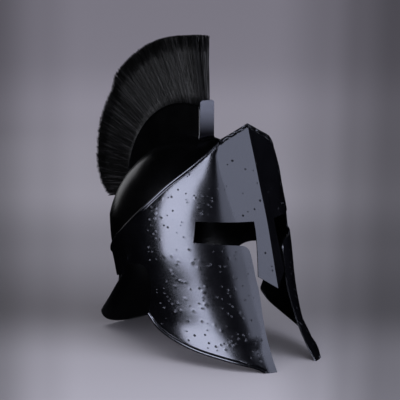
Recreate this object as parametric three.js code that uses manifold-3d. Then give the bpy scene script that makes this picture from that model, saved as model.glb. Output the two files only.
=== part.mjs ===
// A corinthian helmet of painted steel with a brush crest, resting on its cheek tips and neck guard.
// Millimetres, +Z up. The face looks along -Y and the wearer's right is -X.
import * as THREE from "three";
import { mergeVertices } from "three/addons/utils/BufferGeometryUtils.js";
import Module from "manifold-3d";

const wasm = await Module();
wasm.setup();

// ---- Driving dimensions ----
const WALL = 1.6; // sheet thickness of the helmet's steel
const GAP = 0.4; // clearance between neighbouring pieces
const RIM = { width: 5, lift: 1.1 }; // turned edge: how wide it is and how far it stands off the plate
const DOME = { foot: 90, rim: 128, top: 242, half: 95, rear: 113, front: 80, middle: -2, fullness: 1.86 };
const CREST = {
  y: 8, // the centre of its curve, seen from the side
  z: 169,
  radius: 110,
  width: 20,
  channel: 14, // depth of the channel that holds the hair
  front: -15.5, // y of its square front
  end: 102, // degrees back from straight up to its rear end
  lip: 1,
};
const PLATE = { width: 21, thick: 2, top: 283.5, foot: 5.5, corner: 2 };
const BACK_EDGE = 76; // height of the plate's lower edge at the back
const GUARD = {
  top: 88,
  floorY: 114, // where its foot stands on the floor, at the middle
  cornerX: 57, // its raised lower corner
  cornerY: 112,
  cornerZ: 21,
  sideY: 28, // how far forward it reaches along the plate's inside
  tuck: 0.6, // extra room between it and the plate
  sole: 0.8, // worn off its foot, so that it stands flat
};
const PLUME = {
  locks: 30, // along the crest, on each side of its middle
  root: 98, // from the crest's centre to the roots of the hair
  firstArc: -13.4,
  lastArc: 94,
  firstLean: 6.5,
  lastLean: 101,
  baseHalf: 7.2,
  tipHalf: 14.5,
};

// The face plate's plan at a few heights. ridge: y of the centre ridge; angle and flat: how far the front
// facet turns back and how far out it runs; half and side: the widest point; back: y of the rear.
// PLATE_BEND shapes the curves between them, as shares of the way: the soft corner and the round back.
const PLATE_BEND = { cornerStart: 0.42, cornerEnd: 0.51, backStart: 0.62, backEnd: 0.64 };
const PLATE_PLANS = [
  { z: -6, ridge: -180, half: 95, side: -30, back: 99, angle: 18, flat: 38 },
  { z: 0, ridge: -175, half: 93, side: -30, back: 98, angle: 18, flat: 36 },
  { z: 20, ridge: -161, half: 90, side: -28, back: 96, angle: 18, flat: 33 },
  { z: 40, ridge: -151, half: 89, side: -24, back: 95, angle: 20, flat: 26 },
  { z: 60, ridge: -143, half: 90.5, side: -20, back: 96, angle: 20, flat: 27 },
  { z: 83, ridge: -135, half: 93, side: -14, back: 99, angle: 19, flat: 29 },
  { z: 125, ridge: -124.5, half: 96, side: -8, back: 109, angle: 17, flat: 31 },
  { z: 158, ridge: -116, half: 95, side: -4, back: 111, angle: 16, flat: 32 },
  { z: 190, ridge: -106, half: 87, side: 0, back: 104, angle: 15, flat: 38 },
  { z: 210, ridge: -100, half: 78, side: 0, back: 93, angle: 14, flat: 42 },
  { z: 228, ridge: -94.5, half: 67, side: -4, back: 76, angle: 14.5, flat: 43 },
  { z: 248, ridge: -88, half: 48, side: -20, back: 40, angle: 14.5, flat: 35 },
  { z: 268, ridge: -82.5, half: 34, side: -36, back: 10, angle: 14, flat: 22 },
];

// The plume's outer reach from the crest's centre, by the angle back from straight up.
const PLUME_REACH = [
  { angle: -14, reach: 189 },
  { angle: 8, reach: 189 },
  { angle: 28, reach: 189 },
  { angle: 42, reach: 189.5 },
  { angle: 50, reach: 182 },
  { angle: 65, reach: 180 },
  { angle: 76, reach: 176 },
  { angle: 88, reach: 165 },
  { angle: 97, reach: 147 },
];

// ---- Small tools ----
const radians = THREE.MathUtils.degToRad;
const mirrorX = (points) => points.map(([x, y]) => [-x, y]).reverse();

// A value read from a table between its rows, on a smooth curve that doesn't overshoot.
function tableValue(table, key, column, at) {
  const last = table.length - 1;
  const t = THREE.MathUtils.clamp(at, table[0][key], table[last][key]);
  const i = Math.min(table.findLastIndex((row) => row[key] <= t), last - 1);
  const step = (j) => (table[j + 1][column] - table[j][column]) / (table[j + 1][key] - table[j][key]);
  const slope = (j) => {
    if (j === 0) return step(0);
    if (j === last) return step(last - 1);
    const [a, b] = [step(j - 1), step(j)];
    return a * b > 0 ? (2 * a * b) / (a + b) : 0;
  };
  const span = table[i + 1][key] - table[i][key];
  const u = (t - table[i][key]) / span;
  const [h1, h2] = [u * (1 - u) ** 2 * span, u * u * (u - 1) * span];
  const blend = u * u * (3 - 2 * u);
  const between = THREE.MathUtils.lerp(table[i][column], table[i + 1][column], blend);
  return between + h1 * slope(i) + h2 * slope(i + 1);
}

// Points along a cubic curve from a to d, without the last one.
function curvePoints(a, b, c, d, count) {
  const curve = new THREE.CubicBezierCurve(...[a, b, c, d].map(([x, y]) => new THREE.Vector2(x, y)));
  return curve.getPoints(count).slice(0, -1).map((p) => [p.x, p.y]);
}

// A closed outline moved inwards, square to its edges.
function inset(outline, distance) {
  const count = outline.length;
  return outline.map(([x, y], i) => {
    const before = new THREE.Vector2(...outline[(i + count - 1) % count]);
    const after = new THREE.Vector2(...outline[(i + 1) % count]);
    const here = new THREE.Vector2(x, y);
    const into = here.clone().sub(before).normalize();
    const out = after.sub(here).normalize();
    const normal = new THREE.Vector2(-into.y - out.y, into.x + out.x).normalize();
    const turn = normal.x * -into.y + normal.y * into.x;
    return [x + (normal.x * distance) / turn, y + (normal.y * distance) / turn];
  });
}

function solidOf(geometry) {
  const bare = geometry.index ? geometry.clone() : geometry;
  bare.deleteAttribute("uv");
  bare.deleteAttribute("normal");
  const merged = mergeVertices(bare, 1e-4);
  const triVerts = new Uint32Array(merged.index.array);
  const vertProperties = merged.attributes.position.array;
  return new wasm.Manifold(new wasm.Mesh({ numProp: 3, vertProperties, triVerts }));
}

// A named mesh of a solid's one body; the slivers that a grazing cut leaves are dropped.
function meshOf(name, solid, look) {
  const body = solid.decompose().reduce((most, next) => (next.volume() > most.volume() ? next : most));
  const { vertProperties, triVerts } = body.getMesh();
  const geometry = new THREE.BufferGeometry();
  geometry.setAttribute("position", new THREE.BufferAttribute(vertProperties, 3));
  geometry.setIndex(new THREE.BufferAttribute(triVerts, 1));
  const flat = geometry.toNonIndexed();
  flat.computeVertexNormals();
  const mesh = new THREE.Mesh(flat, new THREE.MeshStandardMaterial({ flatShading: true, ...look }));
  mesh.name = name;
  return mesh;
}

// A closed solid over rings of equal point counts, from the lowest ring to the highest.
function loft(rings) {
  const count = rings[0].length;
  const positions = rings.flat(2);
  const index = [];
  rings.slice(1).forEach((_, level) => {
    for (let i = 0; i < count; i++) {
      const a = level * count + i;
      const b = level * count + ((i + 1) % count);
      index.push(a, b, a + count, b, b + count, a + count);
    }
  });
  for (const [ring, level] of [[rings[0], 0], [rings.at(-1), rings.length - 1]]) {
    const centre = positions.length / 3;
    positions.push(...[0, 1, 2].map((axis) => ring.reduce((sum, p) => sum + p[axis], 0) / count));
    for (let i = 0; i < count; i++) {
      const a = level * count + i;
      const b = level * count + ((i + 1) % count);
      index.push(centre, level ? a : b, level ? b : a);
    }
  }
  const geometry = new THREE.BufferGeometry();
  geometry.setAttribute("position", new THREE.Float32BufferAttribute(positions, 3));
  geometry.setIndex(index);
  return solidOf(geometry);
}

// An outline drawn from the side (y, z), pushed through from x = -half to x = half.
function sideSolid(outline, half) {
  const shape = new THREE.Shape(outline.map(([y, z]) => new THREE.Vector2(y, z)));
  const geometry = new THREE.ExtrudeGeometry(shape, { depth: 2 * half, bevelEnabled: false });
  geometry.translate(0, 0, -half);
  geometry.rotateX(Math.PI / 2).rotateZ(Math.PI / 2);
  return solidOf(geometry);
}

// An outline drawn from the front (x, z), pushed through from y = near to y = far.
function frontSolid(outline, near, far) {
  const shape = new THREE.Shape(outline.map(([x, z]) => new THREE.Vector2(x, z)));
  const geometry = new THREE.ExtrudeGeometry(shape, { depth: far - near, bevelEnabled: false });
  geometry.rotateX(Math.PI / 2).translate(0, far, 0);
  return solidOf(geometry);
}

// ---- Face plate ----
const plateAt = (z, column) => tableValue(PLATE_PLANS, "z", column, z);

// The plate's plan at one height: straight front facets, a soft corner, the side and the round back.
function platePlan(z) {
  const [ridge, half, side, back, angle, flat] = ["ridge", "half", "side", "back", "angle", "flat"].map(
    (column) => plateAt(z, column),
  );
  const slope = Math.tan(radians(angle));
  const corner = [flat, ridge + flat * slope];
  const widest = [half, side];
  const run = (half - flat) * PLATE_BEND.cornerStart;
  const rear = back - side;
  const points = [
    [0, ridge],
    [flat / 2, ridge + (flat / 2) * slope],
    ...curvePoints(
      corner,
      [flat + run, corner[1] + run * slope],
      [half, side - (side - corner[1]) * PLATE_BEND.cornerEnd],
      widest,
      9,
    ),
    ...curvePoints(
      widest,
      [half, side + rear * PLATE_BEND.backStart],
      [half * PLATE_BEND.backEnd, back],
      [0, back],
      9,
    ),
    [0, back],
  ];
  return [...points, ...mirrorX(points.slice(1, -1))];
}

const plateLevels = [
  -6, 0, 10, 20, 31, 42, 60, 78, 96, 118, 140, 158, 174, 190, 201, 212, 222, 232, 242, 255, 268,
];
const plateBlock = (distance) =>
  loft(plateLevels.map((z) => inset(platePlan(z), distance).map(([x, y]) => [x, y, z])));

// Lines of the plate seen from the side, as y and z.
const UPPER_RIM = [
  [-84, 262.5], [-76, 240], [-63, 221.5], [-36, 194], [-11, 168], [21, 142.5], [56, 117.5], [82, 101],
  [120, 90],
];
const NOTCH = [
  [30, 84], [25, 92], [14, 99], [0, 103], [-12, 103.5], [-21, 98], [-25, 88], [-25, 76], [-21.5, 60],
  [-16, 46],
];
const LOWER_RIM = [
  [-16, 45], [-30, 34], [-48, 26.5], [-66, 21], [-89, 15.5], [-115, 11], [-137, 7], [-152, 3.5], [-159, 0],
];
const splineOf = (points) => new THREE.SplineCurve(points.map(([a, b]) => new THREE.Vector2(a, b)));
const splinePoints = (points, count) => splineOf(points).getPoints(count).map((p) => [p.x, p.y]);

// The plate's side outline, with its upper and lower rims moved inwards to leave the turned edges.
function plateSide(inward) {
  const shift = (points, sign) =>
    points.map(([y, z], i) => {
      const [a, b] = [points[Math.max(i - 1, 0)], points[Math.min(i + 1, points.length - 1)]];
      const length = Math.hypot(b[0] - a[0], b[1] - a[1]);
      return [y + (sign * inward * (b[1] - a[1])) / length, z - (sign * inward * (b[0] - a[0])) / length];
    });
  const upper = shift(splinePoints(UPPER_RIM, 22), 1);
  const lower = shift(splinePoints(LOWER_RIM, 14), 1);
  return [
    [-230, upper[0][1] + inward * 1.2],
    ...upper,
    [120, BACK_EDGE],
    [60, BACK_EDGE],
    ...splinePoints(NOTCH, 16),
    ...lower,
    [-230, lower.at(-1)[1]],
  ].reverse();
}

// The opening seen from the front: two eye slots joined to the gap below the nasal, as x and z.
const FACE_OPENING = [
  [20.5, 97.5], [18.5, 114], [16.5, 132], [15.5, 146], [15.5, 157], [70.5, 159], [74, 135.5], [37, 132.5],
  [30.5, 131], [26.5, 126.5], [25, 118], [24, 100], [22.5, 84], [23, 70], [24.5, 55], [26, 39], [28, 20],
  [30.5, 0], [31, -20],
];

function facePlate() {
  const shell = plateBlock(0).subtract(plateBlock(WALL));
  const outline = [[0, 83], ...FACE_OPENING];
  const opening = frontSolid([...outline, ...mirrorX(FACE_OPENING)], -260, -60);
  const plain = shell.intersect(sideSolid(plateSide(0), 150));
  const collar = plateBlock(-RIM.lift).subtract(plateBlock(WALL));
  const edged = collar.intersect(sideSolid(plateSide(0), 150));
  const turned = edged.subtract(sideSolid(plateSide(RIM.width), 151));
  return plain.add(turned).subtract(opening);
}

// ---- Skull ----
// How full the dome still is at a height: 1 at its rim and 0 at its top.
function domeFill(z, top = DOME.top) {
  const rise = Math.max(z - DOME.rim, 0) / (top - DOME.rim);
  return Math.max(1 - rise ** DOME.fullness, 0) ** (1 / DOME.fullness);
}

// The dome's plan: an oval that is longer behind the middle than before it.
function domePlan(z, distance) {
  const fill = domeFill(z);
  const half = DOME.half * fill - distance;
  const rear = DOME.rear * fill - distance;
  const front = DOME.front * fill - distance;
  const points = [
    ...curvePoints([0, -front], [half * 0.6, -front], [half, -front * 0.6], [half, 0], 8),
    ...curvePoints([half, 0], [half, rear * 0.62], [half * 0.62, rear], [0, rear], 10),
    [0, rear],
  ].map(([x, y]) => [x, y + DOME.middle]);
  return [...points, ...mirrorX(points.slice(1, -1))];
}

// The dome as a solid, shrunk by a distance, where it also keeps inside the face plate.
function dome(distance) {
  const turns = [0, 0.09, 0.19, 0.3, 0.41, 0.52, 0.63, 0.74, 0.84, 0.93, 0.985];
  const heights = turns.map((t) => DOME.rim + (DOME.top - DOME.rim) * Math.sin((t * Math.PI) / 2));
  const rings = [DOME.foot - 2 * distance, 104, ...heights].map((z) => {
    const lowered = z > DOME.rim ? z - (distance * (z - DOME.rim)) / (DOME.top - DOME.rim) : z;
    return domePlan(z, distance).map(([x, y]) => [x, y, lowered]);
  });
  return loft(rings).intersect(plateBlock(WALL + GAP + distance));
}

function skull() {
  // The bowl's front edge follows the brow behind the face plate, above the wearer's eyes.
  const brow = [
    [-200, 60], [34, 60], [30, 92], [16, 110], [-16, 150], [-46, 176], [-200, 186],
  ];
  return dome(0).subtract(dome(WALL)).subtract(sideSolid(brow, 150));
}

// ---- Neck guard ----
// The guard's top edge, which follows the inside of the plate's back from side to side.
const guardTop = splineOf(
  inset(platePlan(BACK_EDGE), WALL + GAP + GUARD.tuck)
    .filter(([, y]) => y > GUARD.sideY)
    .reverse(),
);

// A point of the guard's outer face. across runs from side to side (-1 to 1) and down from its top, which
// hugs the inside of the plate's back, to its rounded lower edge on the floor (0 to 1). It is upright
// behind the plate and sweeps out below it.
function guardPoint(across, down) {
  const edge = Math.abs(across) ** 2.2;
  const along = guardTop.getPointAt((across + 1) / 2);
  const top = new THREE.Vector3(along.x, along.y, GUARD.top);
  const foot = new THREE.Vector3(
    GUARD.cornerX * Math.sin((across * Math.PI) / 2),
    THREE.MathUtils.lerp(GUARD.floorY, GUARD.cornerY, edge),
    GUARD.cornerZ * edge - GUARD.sole,
  );
  const z = THREE.MathUtils.lerp(top.z, foot.z, down);
  const bent = THREE.MathUtils.clamp((BACK_EDGE - z) / (BACK_EDGE - foot.z), 0, 1);
  const sweep = bent ** THREE.MathUtils.lerp(1.9, 0.95, edge);
  const x = THREE.MathUtils.lerp(top.x, foot.x, bent);
  return new THREE.Vector3(x, THREE.MathUtils.lerp(top.y, foot.y, sweep), z);
}

// A closed sheet behind a face that is given point by point over two directions.
function sheet(faceAt, columns, rows, thickness) {
  const face = [];
  const behind = [];
  const reach = 0.01;
  for (let j = 0; j <= rows; j++) {
    for (let i = 0; i <= columns; i++) {
      const [u, v] = [(2 * i) / columns - 1, j / rows];
      const along = faceAt(Math.min(u + reach, 1), v).sub(faceAt(Math.max(u - reach, -1), v));
      const down = faceAt(u, Math.min(v + reach, 1)).sub(faceAt(u, Math.max(v - reach, 0)));
      const point = faceAt(u, v);
      face.push(point);
      behind.push(point.clone().addScaledVector(along.cross(down).normalize(), -thickness));
    }
  }
  const at = (i, j) => j * (columns + 1) + i;
  const back = face.length;
  const index = [];
  for (let j = 0; j < rows; j++) {
    for (let i = 0; i < columns; i++) {
      const [a, b, c, d] = [at(i, j), at(i + 1, j), at(i + 1, j + 1), at(i, j + 1)];
      index.push(a, b, c, a, c, d, back + a, back + c, back + b, back + a, back + d, back + c);
    }
  }
  const border = [
    ...Array.from({ length: columns }, (_, i) => at(i, 0)),
    ...Array.from({ length: rows }, (_, j) => at(columns, j)),
    ...Array.from({ length: columns }, (_, i) => at(columns - i, rows)),
    ...Array.from({ length: rows }, (_, j) => at(0, rows - j)),
  ];
  border.forEach((a, k) => {
    const b = border[(k + 1) % border.length];
    index.push(a, back + b, b, a, back + a, back + b);
  });
  const geometry = new THREE.BufferGeometry();
  const positions = [...face, ...behind].flatMap((p) => [p.x, p.y, p.z]);
  geometry.setAttribute("position", new THREE.Float32BufferAttribute(positions, 3));
  geometry.setIndex(index);
  return solidOf(geometry);
}

function neckGuard() {
  const aboveFloor = new THREE.BoxGeometry(300, 300, 200).translate(0, 0, 100);
  return sheet(guardPoint, 20, 9, WALL).intersect(solidOf(aboveFloor));
}

// ---- Crest holder and its front plate ----
// A point at an angle back from straight up and a distance from the crest's centre, as y and z.
const crestPoint = (angle, reach) => [
  CREST.y + reach * Math.sin(radians(angle)),
  CREST.z + reach * Math.cos(radians(angle)),
];

// A ring sector around the crest's centre, cut square at the front, pushed out to a half width.
function crestSector(inner, outer, last, half) {
  const steps = 22;
  const first = (radius) => THREE.MathUtils.radToDeg(Math.asin((CREST.front - CREST.y) / radius));
  const turn = (radius, i) => THREE.MathUtils.lerp(first(radius), last, i / steps);
  const arc = (radius) => Array.from({ length: steps + 1 }, (_, i) => crestPoint(turn(radius, i), radius));
  return sideSolid([...arc(inner), ...arc(outer).reverse()], half);
}

function crestHolder() {
  const half = CREST.width / 2;
  const body = crestSector(66, CREST.radius, CREST.end, half);
  const lip = crestSector(CREST.radius - 1.6, CREST.radius, CREST.end, half + CREST.lip);
  const floorTop = CREST.radius - CREST.channel;
  const inside = half - WALL;
  const channel = crestSector(floorTop, CREST.radius + 8, CREST.end - 1.2, inside);
  const below = crestSector(60, floorTop - WALL, CREST.end - 1.2, inside);
  return body.add(lip).subtract(channel).subtract(below).subtract(dome(-GAP));
}

function crestFrontPlate() {
  const half = PLATE.width / 2;
  const near = CREST.front - GAP - PLATE.thick;
  const outline = [
    [-half, 210],
    [half, 210],
    [half, PLATE.top - PLATE.corner],
    [half - PLATE.corner, PLATE.top],
    [PLATE.corner - half, PLATE.top],
    [-half, PLATE.top - PLATE.corner],
  ];
  const upright = frontSolid(outline, near, near + PLATE.thick).subtract(dome(-GAP));
  const reach = new THREE.BoxGeometry(PLATE.width + 2, PLATE.foot + PLATE.thick, 60);
  reach.translate(0, near + (PLATE.thick - PLATE.foot) / 2, DOME.top - 10);
  const foot = dome(-GAP - PLATE.thick).subtract(dome(-GAP)).intersect(solidOf(reach));
  return upright.add(foot);
}

// ---- Plume ----
// How far the plume reaches from the crest's centre at a point's own angle.
function plumeReach(y, z) {
  const angle = THREE.MathUtils.radToDeg(Math.atan2(y - CREST.y, z - CREST.z));
  return tableValue(PLUME_REACH, "angle", "reach", angle);
}

// A point of the plume: along the crest (0 to 1), out along the hair (0 to 1) and across it (-1 to 1).
function plumePoint(along, out, across) {
  const root = crestPoint(THREE.MathUtils.lerp(PLUME.firstArc, PLUME.lastArc, along), PLUME.root);
  const lean = radians(THREE.MathUtils.lerp(PLUME.firstLean, PLUME.lastLean, along));
  const tipAt = (length) => [root[0] + length * Math.sin(lean), root[1] + length * Math.cos(lean)];
  let [short, long] = [0, 150];
  for (let i = 0; i < 24; i++) {
    const tip = tipAt((short + long) / 2);
    const inside = Math.hypot(tip[0] - CREST.y, tip[1] - CREST.z) < plumeReach(...tip);
    [short, long] = inside ? [(short + long) / 2, long] : [short, (short + long) / 2];
  }
  const [y, z] = tipAt(short * out);
  return [across * THREE.MathUtils.lerp(PLUME.baseHalf, PLUME.tipHalf, out ** 1.6), y, z];
}

// One lock of hair: a tapering block between two places along the crest, on one side of its middle.
function lock(number, side) {
  const step = 1 / PLUME.locks;
  const uneven = 1 - 0.006 * ((number * 7) % 5);
  const rings = [[0, 0.04], [0.5, 0.04], [0.9, 0.08], [1, 0.3]].map(([out, taper]) => {
    const [from, to] = [(number + taper) * step, (number + 1 - taper) * step];
    const [inner, outer] = [0.03 + taper * 0.1, 1 - taper * 0.16];
    const corners = [[from, inner], [to, inner], [to, outer], [from, outer]];
    return corners.map(([along, across]) => plumePoint(along, out * uneven, side * across));
  });
  return loft(rings.map((ring) => (side > 0 ? ring.reverse() : ring)));
}

function plume() {
  const strip = crestSector(CREST.radius - CREST.channel + GAP, PLUME.root + 4, CREST.end - 1.6, PLUME.baseHalf);
  const locks = Array.from({ length: PLUME.locks }, (_, i) => [lock(i, -1), lock(i, 1)]).flat();
  return locks.reduce((all, one) => all.add(one), strip).subtract(dome(-2 * GAP));
}

// ---- The helmet ----
const BLACK_STEEL = { color: 0x15161a, roughness: 0.3, metalness: 0.6 };
const helmet = new THREE.Group();
helmet.add(meshOf("skull", skull(), BLACK_STEEL));
helmet.add(meshOf("face_plate", facePlate(), { color: 0x2b2b34, roughness: 0.36, metalness: 0.7 }));
helmet.add(meshOf("neck_guard", neckGuard(), { color: 0x1b1b20, roughness: 0.4, metalness: 0.6 }));
helmet.add(meshOf("crest_holder", crestHolder(), BLACK_STEEL));
helmet.add(meshOf("crest_front_plate", crestFrontPlate(), { color: 0x4a4c5c, roughness: 0.45, metalness: 0.7 }));
helmet.add(meshOf("plume", plume(), { color: 0x0c0c0e, roughness: 0.9, metalness: 0 }));

// The helmet stands with the middle of its footprint over the origin.
const extent = new THREE.Box3().setFromObject(helmet);
helmet.position.set(0, -(extent.min.y + extent.max.y) / 2, -extent.min.z);
const root = new THREE.Group().add(helmet);
export default root;
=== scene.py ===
import math
import random

import bmesh
import bpy
import numpy as np
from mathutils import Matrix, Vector
from mathutils.geometry import delaunay_2d_cdt
from mathutils.kdtree import KDTree


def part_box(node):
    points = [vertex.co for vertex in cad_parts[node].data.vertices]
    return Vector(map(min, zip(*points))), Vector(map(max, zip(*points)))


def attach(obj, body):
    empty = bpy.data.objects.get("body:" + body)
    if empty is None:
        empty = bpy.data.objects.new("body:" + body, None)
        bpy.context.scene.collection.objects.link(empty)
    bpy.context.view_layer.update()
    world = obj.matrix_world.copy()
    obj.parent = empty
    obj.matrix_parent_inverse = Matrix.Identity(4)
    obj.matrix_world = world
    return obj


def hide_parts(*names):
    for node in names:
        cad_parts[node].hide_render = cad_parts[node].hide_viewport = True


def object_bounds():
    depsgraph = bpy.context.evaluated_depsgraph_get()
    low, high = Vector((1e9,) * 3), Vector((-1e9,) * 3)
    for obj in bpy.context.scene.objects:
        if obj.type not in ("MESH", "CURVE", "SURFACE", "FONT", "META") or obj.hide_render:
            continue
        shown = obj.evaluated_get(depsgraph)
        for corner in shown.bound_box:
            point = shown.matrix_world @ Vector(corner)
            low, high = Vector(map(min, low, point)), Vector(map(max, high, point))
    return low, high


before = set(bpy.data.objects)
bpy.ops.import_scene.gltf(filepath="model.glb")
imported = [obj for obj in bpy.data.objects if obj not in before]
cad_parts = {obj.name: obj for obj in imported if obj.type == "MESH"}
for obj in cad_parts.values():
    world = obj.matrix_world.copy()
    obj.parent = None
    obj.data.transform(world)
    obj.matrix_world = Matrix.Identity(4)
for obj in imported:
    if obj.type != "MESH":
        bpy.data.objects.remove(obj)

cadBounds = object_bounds()
mm = 0.001

# what the steel pieces share, in millimetres and degrees; cut edges are eased and dents aren't
steel = {"wall": 1.6, "gap": 0.4, "crestFront": -15.5, "bevelSegments": 2, "bevelAngle": 72}

# the shapes are drawn in the maker's own frame, and this is how far back that lies of the shared one
shiftY = steel["crestFront"] - steel["gap"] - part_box("crest_front_plate")[1].y / mm


# Small tools
def smoothTable(keys, values, at):
    # values between the keys on a smooth curve that doesn't overshoot
    keys, values = np.array(keys, float), np.array(values, float)
    steps = np.diff(values) / np.diff(keys)
    slopes = np.empty(len(keys))
    slopes[0], slopes[-1] = steps[0], steps[-1]
    rising = steps[:-1] * steps[1:] > 0
    total = np.where(rising, steps[:-1] + steps[1:], 1)
    slopes[1:-1] = np.where(rising, 2 * steps[:-1] * steps[1:] / total, 0)
    at = np.clip(at, keys[0], keys[-1])
    i = np.clip(np.searchsorted(keys, at, side="right") - 1, 0, len(keys) - 2)
    span = keys[i + 1] - keys[i]
    u = (at - keys[i]) / span
    blend = u * u * (3 - 2 * u)
    swing = u * (1 - u) ** 2 * slopes[i] + u * u * (u - 1) * slopes[i + 1]
    return values[i] * (1 - blend) + values[i + 1] * blend + span * swing


def smoothLine(points, count):
    # a smooth line through the points
    p = np.array(points, float)
    at = np.linspace(0, len(p) - 1, count)
    i = np.minimum(at.astype(int), len(p) - 2)
    w = (at - i)[:, None]
    a, b = p[np.maximum(i - 1, 0)], p[i]
    c, d = p[i + 1], p[np.minimum(i + 2, len(p) - 1)]
    v0, v1 = (c - a) / 2, (d - b) / 2
    return (2 * b - 2 * c + v0 + v1) * w**3 + (-3 * b + 3 * c - 2 * v0 - v1) * w**2 + v0 * w + b


def evenly(points, spacing):
    # the same line with points a spacing apart
    p = np.array(points, float)
    run = np.concatenate([[0], np.cumsum(np.linalg.norm(np.diff(p, axis=0), axis=1))])
    at = np.linspace(0, run[-1], max(2, int(round(run[-1] / spacing)) + 1))
    return np.stack([np.interp(at, run, p[:, k]) for k in range(p.shape[1])], 1)


def cubic(a, b, c, d, u):
    return a * (1 - u) ** 3 + 3 * b * u * (1 - u) ** 2 + 3 * c * u * u * (1 - u) + d * u**3


def finish(name, bm, material, nodes, sharp):
    # a finished piece: smooth faces, sharp creases, its body, slot and the solids it stands for
    mesh = bpy.data.meshes.new(name)
    bm.to_mesh(mesh)
    bm.free()
    mesh.shade_smooth()
    mesh.set_sharp_from_angle(angle=math.radians(sharp))
    piece = bpy.data.objects.new(name, mesh)
    bpy.context.scene.collection.objects.link(piece)
    piece.data.materials.append(material)
    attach(piece, "root")
    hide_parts(*nodes)
    return piece


def toFrame(bm):
    # from the maker's frame in millimetres to the shared frame in metres
    bmesh.ops.translate(bm, verts=bm.verts, vec=(0, -shiftY, 0))
    bmesh.ops.scale(bm, verts=bm.verts, vec=(mm, mm, mm))


def thicken(piece, wall, edge, even=True):
    # gives a sheet its wall, inwards, and eases its cut edges
    solidify = piece.modifiers.new("wall", "SOLIDIFY")
    solidify.thickness = wall * mm
    solidify.offset = -1
    solidify.use_even_offset = even
    bevel = piece.modifiers.new("edge", "BEVEL")
    bevel.width = edge * mm
    bevel.segments = steel["bevelSegments"]
    bevel.limit_method = "ANGLE"
    bevel.angle_limit = math.radians(steel["bevelAngle"])
    bevel.harden_normals = True


def stand(piece):
    # settles the finished wall on the floor: none of it goes below
    built = piece.evaluated_get(bpy.context.evaluated_depsgraph_get())
    mesh = bpy.data.meshes.new_from_object(built)
    piece.modifiers.clear()
    piece.data = mesh
    for v in mesh.vertices:
        v.co.z = max(v.co.z, cadBounds[0].z)


def wrapGrid(columns, rows, place, closed=True):
    # a grid of quads wrapped by place(u, v) -> x, y, z, where u and v run from 0 to 1
    bm = bmesh.new()
    bmesh.ops.create_grid(bm, x_segments=columns, y_segments=rows, size=0.5)
    flat = np.array([v.co[:2] for v in bm.verts]) + 0.5
    bent = np.stack(place(flat[:, 0], flat[:, 1]), 1)
    for v, p in zip(bm.verts, bent):
        v.co = p
    if closed:
        bmesh.ops.remove_doubles(bm, verts=bm.verts, dist=0.01)
        bmesh.ops.recalc_face_normals(bm, faces=bm.faces)
    return bm


def treeOf(points):
    # finds the nearest of some points, whether they have two coordinates or three
    tree = KDTree(len(points))
    for i, p in enumerate(points):
        tree.insert((*p, 0)[:3], i)
    tree.balance()
    return tree


def farFrom(tree, u, z):
    # how far a place on the flat blank is from the nearest point of a tree
    return tree.find((u, z, 0))[2]


# The face plate's form
plateForm = {
    "z": [-6, 0, 20, 40, 60, 83, 125, 158, 190, 210, 228, 248, 268],
    "ridge": [-180, -175, -161, -151, -143, -135, -124.5, -116, -106, -100, -94.5, -88, -82.5],
    "half": [95, 93, 90, 89, 90.5, 93, 96, 95, 87, 78, 67, 48, 34],
    "side": [-30, -30, -28, -24, -20, -14, -8, -4, 0, 0, -4, -20, -36],
    "back": [99, 98, 96, 95, 96, 99, 109, 111, 104, 93, 76, 40, 10],
    "angle": [18, 18, 18, 20, 20, 19, 17, 16, 15, 14, 14.5, 14.5, 14],
    "flat": [38, 36, 33, 26, 27, 29, 31, 32, 38, 42, 43, 35, 22],
}
# how far along its span each curve of the plan stays straight
plateBend = {"cornerStart": 0.42, "cornerEnd": 0.51, "backStart": 0.62, "backEnd": 0.64}


def platePlan(t, z):
    # x and y at a height: t is 0 to 1 over the front facet, to 2 round the side and to 3 at the back
    t, z = np.broadcast_arrays(np.asarray(t, float), np.asarray(z, float))
    turn = np.where(t < 0, -1.0, 1.0)
    t = np.abs(t)
    ridge, half, side, back, angle, flat = (
        smoothTable(plateForm["z"], plateForm[k], z)
        for k in ("ridge", "half", "side", "back", "angle", "flat")
    )
    slope = np.tan(np.radians(angle))
    cornerY = ridge + flat * slope
    run = (half - flat) * plateBend["cornerStart"]
    rear = back - side
    u, v, w = np.clip(t, 0, 1), np.clip(t - 1, 0, 1), np.clip(t - 2, 0, 1)
    sideX = cubic(flat, flat + run, half, half, v)
    backX = cubic(half, half, half * plateBend["backEnd"], 0 * half, w)
    lastY = side - (side - cornerY) * plateBend["cornerEnd"]
    sideY = cubic(cornerY, cornerY + run * slope, lastY, side, v)
    backY = cubic(side, side + rear * plateBend["backStart"], back, back, w)
    x = np.where(t <= 1, flat * u, np.where(t <= 2, sideX, backX))
    y = np.where(t <= 1, ridge + flat * u * slope, np.where(t <= 2, sideY, backY))
    return turn * x, y


def planWhere(axis, target, z, most):
    # the place round the plan where x (axis 0) or y (axis 1) has a value
    low, high = np.zeros(len(z)), np.full(len(z), float(most))
    for _ in range(36):
        middle = (low + high) / 2
        over = platePlan(middle, z)[axis] > target
        low, high = np.where(over, low, middle), np.where(over, middle, high)
    return (low + high) / 2


blankRuns = [0, 33, 160, 325]  # how far round the flat blank each part of the plan reaches


def toBlank(t, z):
    return np.stack([np.sign(t) * np.interp(np.abs(t), [0, 1, 2, 3], blankRuns), z], 1)


def fromBlank(points):
    t = np.sign(points[:, 0]) * np.interp(np.abs(points[:, 0]), blankRuns, [0, 1, 2, 3])
    x, y = platePlan(t, points[:, 1])
    return np.stack([x, y, points[:, 1]], 1)


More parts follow.
